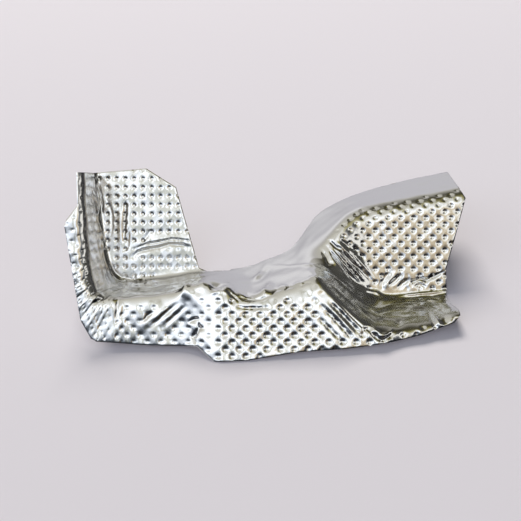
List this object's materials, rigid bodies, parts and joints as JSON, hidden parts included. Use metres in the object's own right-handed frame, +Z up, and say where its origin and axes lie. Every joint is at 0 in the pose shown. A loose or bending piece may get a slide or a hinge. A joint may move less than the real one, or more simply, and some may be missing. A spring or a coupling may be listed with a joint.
{
  "type": "tail light heat insulator",
  "caption": "Pressed, dimple-embossed aluminium heat shield with stepped bays, a saddle between them and a rear flange, keeping exhaust heat off a tail lamp.",
  "frame": {"origin": "middle of the footprint, on the table that the part lies on", "axes": "+X along the length towards the flanged bay, +Y to the rear, +Z up; the part lies as it comes to rest on its front hem and the two rear gutters"},
  "size_m": [0.2796, 0.1738, 0.1007],
  "materials": {
    "embossed_aluminium": "bright rolled sheet, embossed with dimples"
  },
  "bodies": {
    "root": {"heat_shield": "embossed_aluminium"}
  },
  "joints": []
}
